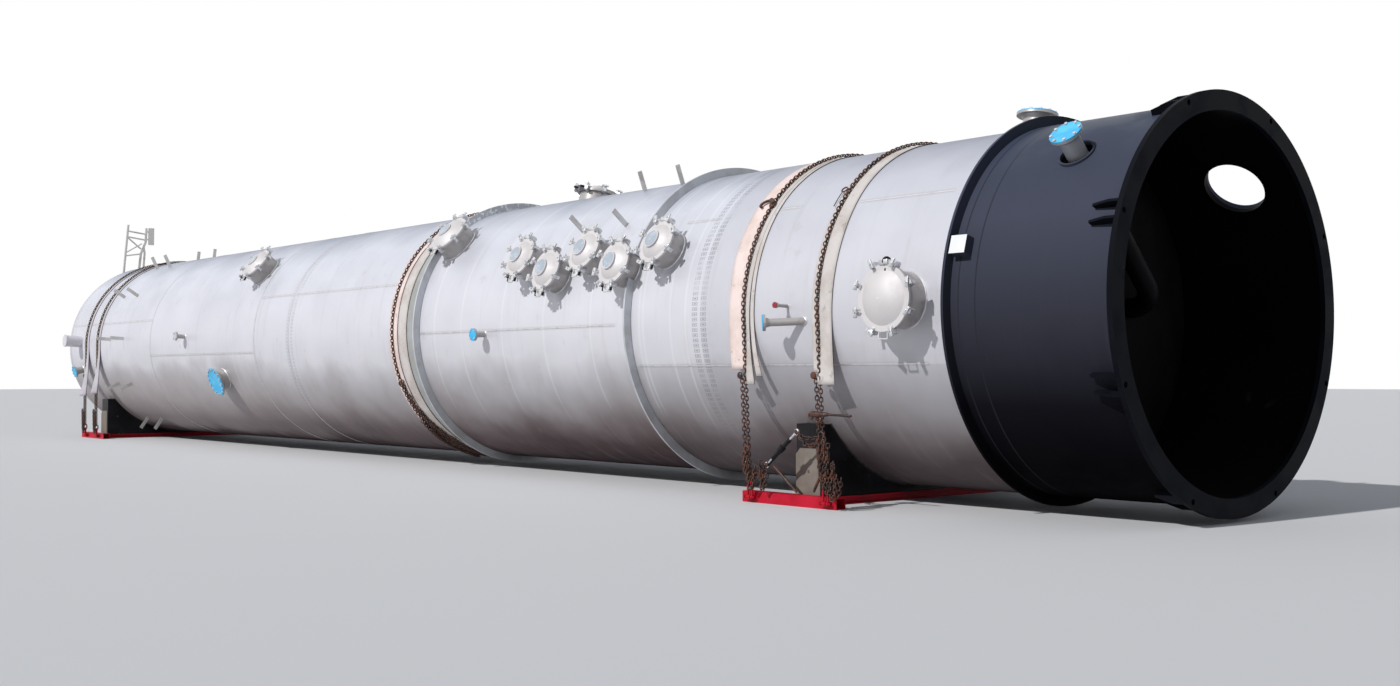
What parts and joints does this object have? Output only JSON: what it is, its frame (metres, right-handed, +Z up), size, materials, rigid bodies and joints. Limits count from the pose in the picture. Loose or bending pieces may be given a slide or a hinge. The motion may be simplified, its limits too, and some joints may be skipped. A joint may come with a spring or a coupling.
{
  "type": "distillation column",
  "caption": "Long stainless distillation column lying on two transport saddles, with a skirt and base ring, clamped manways, blanked nozzles, stiffener rings and chain tie-downs.",
  "frame": {"origin": "on the floor under the middle of the whole object's box", "axes": "+X along the column from the top head to the base ring, +Z up, -Y towards the side with the manways"},
  "size_m": [31.2154, 4.9523, 5.4059],
  "materials": {
    "shell_steel": "pickled stainless plate with weld seams and drip streaks",
    "neck_steel": "brushed stainless",
    "cover_steel": "smooth spun stainless",
    "clamp_steel": "bright stainless fittings",
    "ring_steel": "dull stainless plate on edge",
    "clip_steel": "mill finish flat bar",
    "plate_steel": "bare bright plate",
    "sight_glass": "pale blue-grey glass over a dark inside",
    "dark_paint": "dull dark grey primer",
    "black_paint": "worn black paint",
    "end_plate_paint": "dusty tan-grey primer",
    "red_paint": "chipped red paint",
    "blue_blank": "bright blue moulded flange cover",
    "lining_rubber": "black rubber",
    "chain_steel": "rusty steel chain",
    "pad_belting": "pale woven belting"
  },
  "bodies": {
    "root": {"shell_course_1": "shell_steel", "shell_course_2": "shell_steel", "shell_course_3": "shell_steel", "shell_course_4": "shell_steel", "shell_course_5": "shell_steel", "top_head": "shell_steel", "bottom_head": "shell_steel", "skirt_front": "dark_paint", "skirt_rear": "dark_paint", "skirt_under": "dark_paint", "skirt_top_ring": "dark_paint", "base_ring": "dark_paint", "anchor_chairs": "dark_paint", "stiffener_ring_low": "ring_steel", "stiffener_ring_high": "ring_steel", "lower_manway_neck": "neck_steel", "lower_manway_cover": "cover_steel", "lower_manway_clamps": "clamp_steel", "manway_necks": "neck_steel", "manway_covers": "cover_steel", "manway_clamps": "clamp_steel", "sight_glasses": "sight_glass", "skirt_nozzle": "neck_steel", "skirt_sleeve": "dark_paint", "top_nozzle": "neck_steel", "large_nozzle": "neck_steel", "small_nozzles": "neck_steel", "vapour_nozzle": "neck_steel", "nozzle_blanks": "blue_blank", "access_collar": "dark_paint", "trunnions": "shell_steel", "support_clips": "clip_steel", "head_frame": "clip_steel", "nameplate_bracket": "dark_paint", "nameplate": "plate_steel", "front_saddle": "black_paint", "rear_saddle": "black_paint", "saddle_end_plates": "end_plate_paint", "front_bolster": "red_paint", "rear_bolster": "red_paint", "saddle_linings": "lining_rubber", "front_chains": "chain_steel", "rear_chains": "chain_steel", "girth_chain": "chain_steel", "chain_pads": "pad_belting"}
  },
  "joints": []
}
